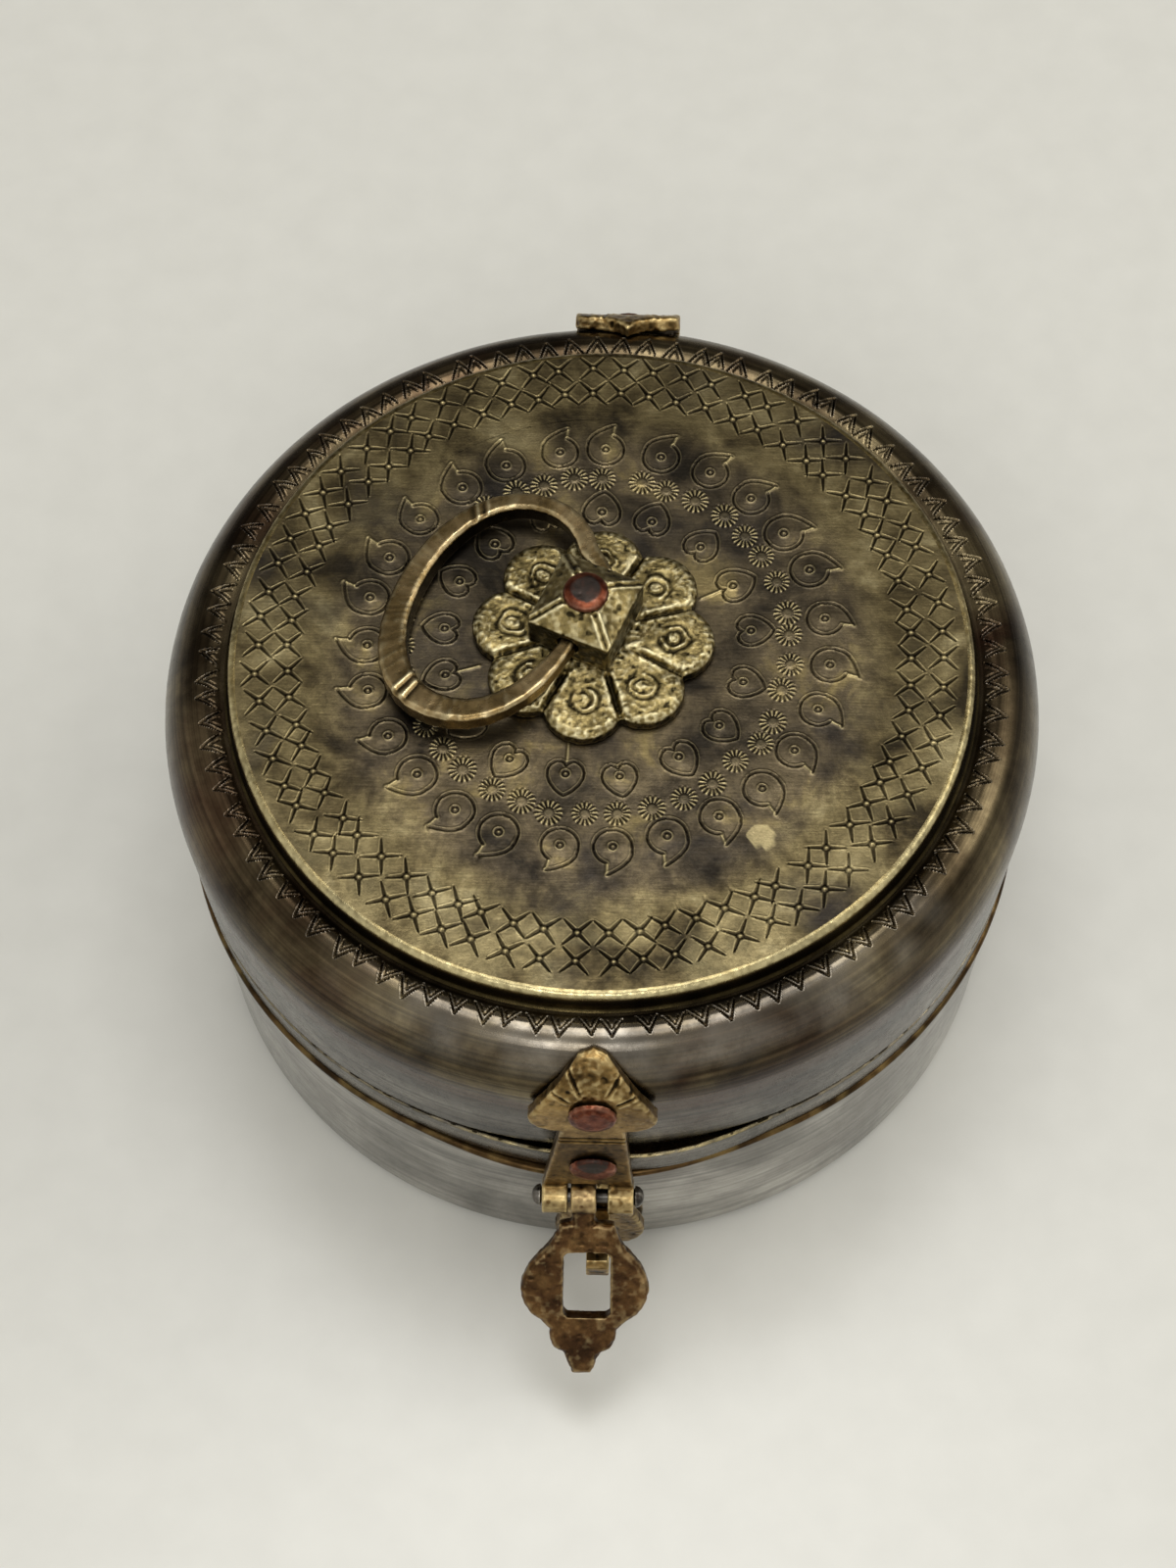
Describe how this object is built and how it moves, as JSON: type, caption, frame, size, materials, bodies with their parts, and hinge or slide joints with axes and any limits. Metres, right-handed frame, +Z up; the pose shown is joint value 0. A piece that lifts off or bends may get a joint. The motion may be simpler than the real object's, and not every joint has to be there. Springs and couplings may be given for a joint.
{
  "type": "round lidded metal box",
  "caption": "Round metal box with a hinged, stepped lid, a swinging hasp over a staple, and a folding ring handle on a flower-shaped plate.",
  "frame": {"origin": "middle of the foot's flat face, on the box's axis", "axes": "+Z up along the box's axis, -Y towards the clasp, +Y towards the hinge, +X to the right seen from the clasp"},
  "size_m": [0.1906, 0.2329, 0.1253],
  "materials": {
    "aged_brass": "spun, aged and stamped",
    "grey_brass": "spun, worn grey",
    "olive_brass": "spun, tarnished",
    "cast_brass": "rough cast",
    "pitted_brass": "rough cast, pitted",
    "bronze_brown": "filed smooth, browned",
    "copper": "hammered, darkened",
    "dark_iron": "dark, peened"
  },
  "bodies": {
    "base": {"base_bowl": "grey_brass", "base_rim": "olive_brass", "staple_plate": "cast_brass", "staple": "cast_brass", "staple_rivet": "copper", "hinge_base_plate": "cast_brass", "hinge_base_upper_rivet": "copper", "hinge_base_lower_rivet": "copper", "hinge_pin": "dark_iron"},
    "lid": {"lid_shell": "aged_brass", "lid_band": "grey_brass", "handle_rosette": "cast_brass", "handle_block": "cast_brass", "handle_rivet": "copper", "handle_washer": "cast_brass", "clasp_plate": "cast_brass", "clasp_leaf_rivet": "copper", "clasp_strap_rivet": "copper", "clasp_pin": "dark_iron", "hinge_lid_plate": "cast_brass", "hinge_lid_leaf_rivet": "copper", "hinge_lid_strap_rivet": "copper"},
    "handle_ring": {"handle_ring": "bronze_brown"},
    "hasp": {"hasp": "pitted_brass"}
  },
  "joints": [
    {"name": "lid_hinge", "type": "hinge", "parent": "base", "child": "lid", "pos_m": [0.0037, 0.0998, 0.0529], "axis": [-1, 0, 0], "range_deg": [0, 105]},
    {"name": "hasp_swing", "type": "hinge", "parent": "lid", "child": "hasp", "pos_m": [-0.0005, -0.1006, 0.0511], "axis": [-1, 0, 0], "range_deg": [-40, 110]},
    {"name": "ring_swing", "type": "hinge", "parent": "lid", "child": "handle_ring", "pos_m": [-0.0033, 0.006, 0.1163], "axis": [0.3907, 0.9205, 0], "range_deg": [0, 190]}
  ]
}
